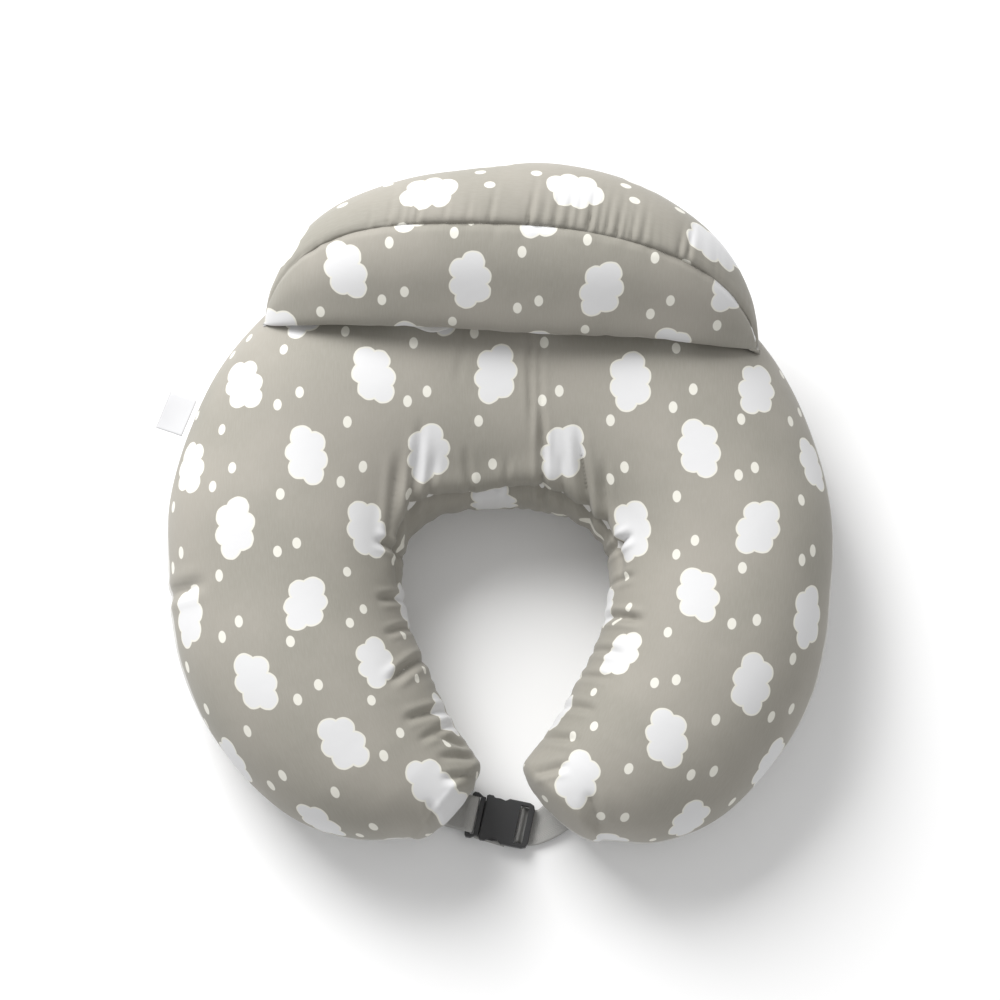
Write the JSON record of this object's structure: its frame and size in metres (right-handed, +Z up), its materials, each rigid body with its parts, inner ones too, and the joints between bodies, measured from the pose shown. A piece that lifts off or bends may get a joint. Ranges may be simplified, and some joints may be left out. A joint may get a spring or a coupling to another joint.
{
  "type": "nursing pillow",
  "caption": "Horseshoe nursing pillow with a sewn-on head cushion, a zipped fabric cover over a fibre-filled inner pillow, and a buckled waist strap.",
  "frame": {"origin": "middle of the footprint, on the surface that the pillow lies on", "axes": "+Z up, -Y towards the open end with the buckle, +X to the right seen from the open end"},
  "size_m": [0.5566, 0.5448, 0.2165],
  "materials": {
    "printed_cotton": "fine sateen cotton, warm grey with a white cloud and drop print, soft sheen",
    "underside_plush": "off-white short brushed plush",
    "inner_cotton": "plain white cotton",
    "fibre_fill": "white siliconised polyester fibre",
    "webbing": "light grey woven polypropylene webbing, 30 mm",
    "black_plastic": "moulded black acetal, fine spark texture",
    "zip_tape": "off-white woven zip tape",
    "zip_nylon": "off-white nylon coil",
    "zip_metal": "plated zinc, satin",
    "label_satin": "blank white woven satin label"
  },
  "bodies": {
    "pillow": {"cover_top_panel": "printed_cotton", "cover_bottom_panel": "underside_plush", "inner_casing_top": "inner_cotton", "inner_casing_bottom": "inner_cotton", "main_fibre_fill": "fibre_fill", "head_seam_tape": "inner_cotton", "zip_tape_upper": "zip_tape", "zip_tape_lower": "zip_tape", "zip_coil_upper": "zip_nylon", "zip_coil_lower": "zip_nylon", "zip_stop_closed": "zip_metal", "zip_stop_open": "zip_metal", "left_webbing": "webbing", "right_webbing": "webbing", "buckle_plug": "black_plastic"},
    "head_cushion": {"head_front_panel": "printed_cotton", "head_gusset": "printed_cotton", "head_back_panel": "underside_plush", "head_fibre_fill": "fibre_fill"},
    "buckle_socket": {"buckle_socket": "black_plastic"},
    "latch_arm_rear": {"latch_arm_rear": "black_plastic"},
    "latch_arm_front": {"latch_arm_front": "black_plastic"},
    "strap_tail": {"strap_tail": "webbing"},
    "zip_slider": {"zip_slider": "zip_metal"},
    "zip_pull": {"zip_pull": "zip_metal"},
    "care_label": {"care_label": "label_satin"}
  },
  "joints": [
    {"name": "head_cushion_tilt", "type": "hinge", "parent": "pillow", "child": "head_cushion", "pos_m": [0.01421, 0.13568, 0.1462], "axis": [0.9982, -0.0593, 0], "range_deg": [0, 70]},
    {"name": "buckle_release", "type": "slide", "parent": "pillow", "child": "buckle_socket", "axis": [0.9781, -0.2079, 0], "range_m": [0, 0.028], "deforming": ["right_webbing", "latch_arm_rear", "latch_arm_front"]},
    {"name": "latch_press_rear", "type": "hinge", "parent": "pillow", "child": "latch_arm_rear", "pos_m": [-0.00864, -0.23462, 0.0078], "axis": [0, 0, -1], "range_deg": [0, 12], "stiffness_Nm_per_rad": 0.02},
    {"name": "latch_press_front", "type": "hinge", "parent": "pillow", "child": "latch_arm_front", "pos_m": [-0.01342, -0.25712, 0.0078], "axis": [0, 0, 1], "range_deg": [0, 12], "stiffness_Nm_per_rad": 0.02},
    {"name": "strap_adjust", "type": "slide", "parent": "pillow", "child": "strap_tail", "axis": [0.9781, -0.2079, 0], "range_m": [-0.006, 0.014]},
    {"name": "zip_slide", "type": "hinge", "parent": "pillow", "child": "zip_slider", "pos_m": [0.00521, -0.02832, 0.08], "axis": [0, 0, 1], "range_deg": [0, 68]},
    {"name": "zip_pull_swing", "type": "hinge", "parent": "zip_slider", "child": "zip_pull", "pos_m": [0.16441, 0.2042, 0.08], "axis": [0, 0, 1], "range_deg": [-170, 0]},
    {"name": "care_label_flap", "type": "hinge", "parent": "pillow", "child": "care_label", "pos_m": [-0.25014, 0.07485, 0.078], "axis": [0.3746, 0.9272, 0], "range_deg": [-55, 70], "stiffness_Nm_per_rad": 0.002}
  ],
  "couplings": [
    {"joint": "latch_press_front", "follows": "latch_press_rear", "ratio": 1}
  ]
}
